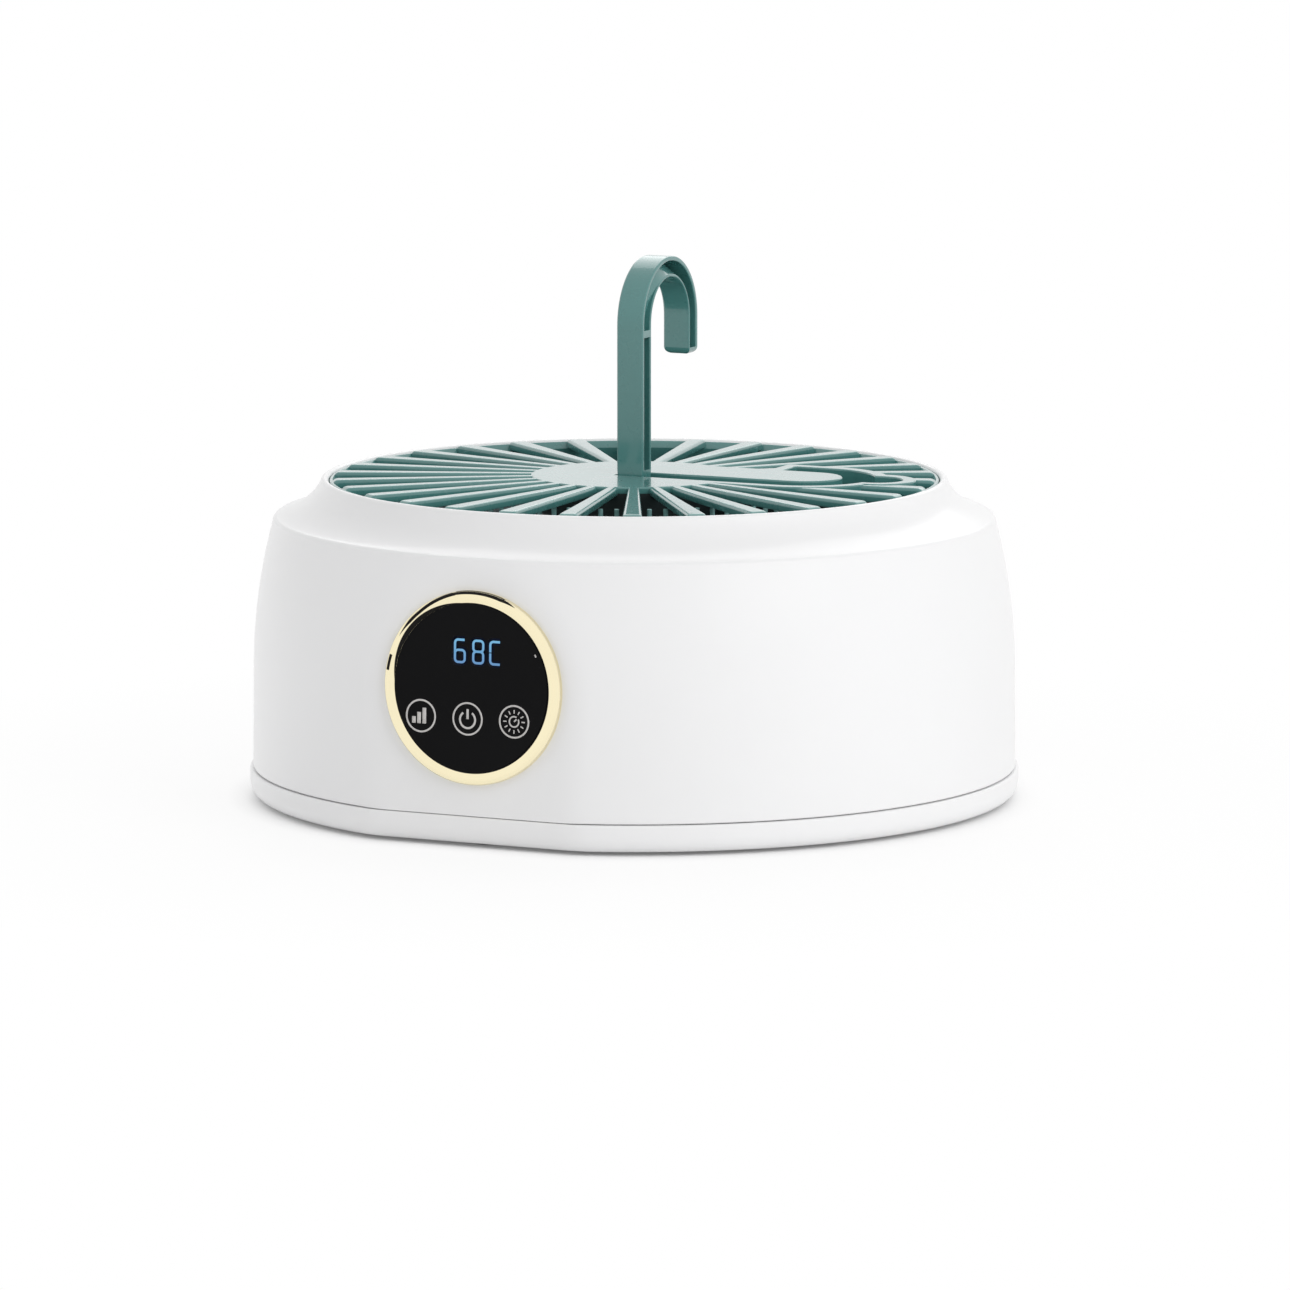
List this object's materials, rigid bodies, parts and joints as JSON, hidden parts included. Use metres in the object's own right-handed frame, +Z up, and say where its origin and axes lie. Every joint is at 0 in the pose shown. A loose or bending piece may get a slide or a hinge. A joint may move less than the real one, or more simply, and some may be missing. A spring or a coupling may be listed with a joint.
{
  "type": "filament dryer box",
  "caption": "Round hot-air dryer drum with a radial-rib top grille, a fold-flat hanging hook, a round touch display in a metallic ring and a warm-air outlet below.",
  "frame": {"origin": "on the drum's axis, at the surface the feet stand on, which is the centre of the warm-air outlet", "axes": "+Z up along the fan's axis; the display faces -Y; the hook folds down along +X"},
  "size_m": [0.2596, 0.2562, 0.1799],
  "materials": {
    "white_housing": "high gloss moulded white plastic",
    "teal_plastic": "semi-gloss teal plastic with polished edges",
    "gold_ring": "plated pale gold, polished",
    "lens_black": "gloss black lens with printed marks",
    "dark_rubber": "matte rubber",
    "mesh_fabric": "woven filter mesh",
    "grey_plastic": "heat-resistant grey plastic",
    "dark_plastic": "moulded black plastic",
    "steel": "zinc plated steel",
    "brass": "turned brass",
    "aluminium": "pressed aluminium fins",
    "board": "green solder mask",
    "components": "electronic components"
  },
  "bodies": {
    "dryer": {"upper_housing": "white_housing", "base_tray": "white_housing", "seam_gasket": "dark_rubber", "top_grille": "teal_plastic", "filter_mesh": "mesh_fabric", "filter_frame": "teal_plastic", "hook_pin": "steel", "hinge_washers": "grey_plastic", "display_bezel": "gold_ring", "display_lens": "lens_black", "display_board": "board", "led_module": "dark_plastic", "touch_pads": "dark_rubber", "power_board": "board", "power_components": "components", "mains_inlet": "dark_plastic", "inlet_pins": "brass", "fan_duct": "grey_plastic", "motor_mount": "grey_plastic", "fan_motor": "steel", "heater_frame": "grey_plastic", "heater_elements": "aluminium", "thermal_cutout": "steel", "temperature_probe": "steel", "outlet_grille": "grey_plastic", "rubber_feet": "dark_rubber", "base_screws": "steel", "duct_screws": "steel", "grille_screws": "steel", "motor_screws": "steel", "display_screws": "steel", "board_screws": "steel"},
    "hook_arm": {"hook": "teal_plastic"},
    "rotor": {"motor_shaft": "steel", "impeller": "dark_plastic", "impeller_nut": "brass"}
  },
  "joints": [
    {"name": "hook_fold", "type": "hinge", "parent": "dryer", "child": "hook_arm", "pos_m": [0, 0, 0.10425], "axis": [0, 1, 0], "range_deg": [0, 90]},
    {"name": "fan_spin", "type": "hinge", "parent": "dryer", "child": "rotor", "pos_m": [0, 0, 0.076], "axis": [0, 0, 1], "continuous": true}
  ]
}
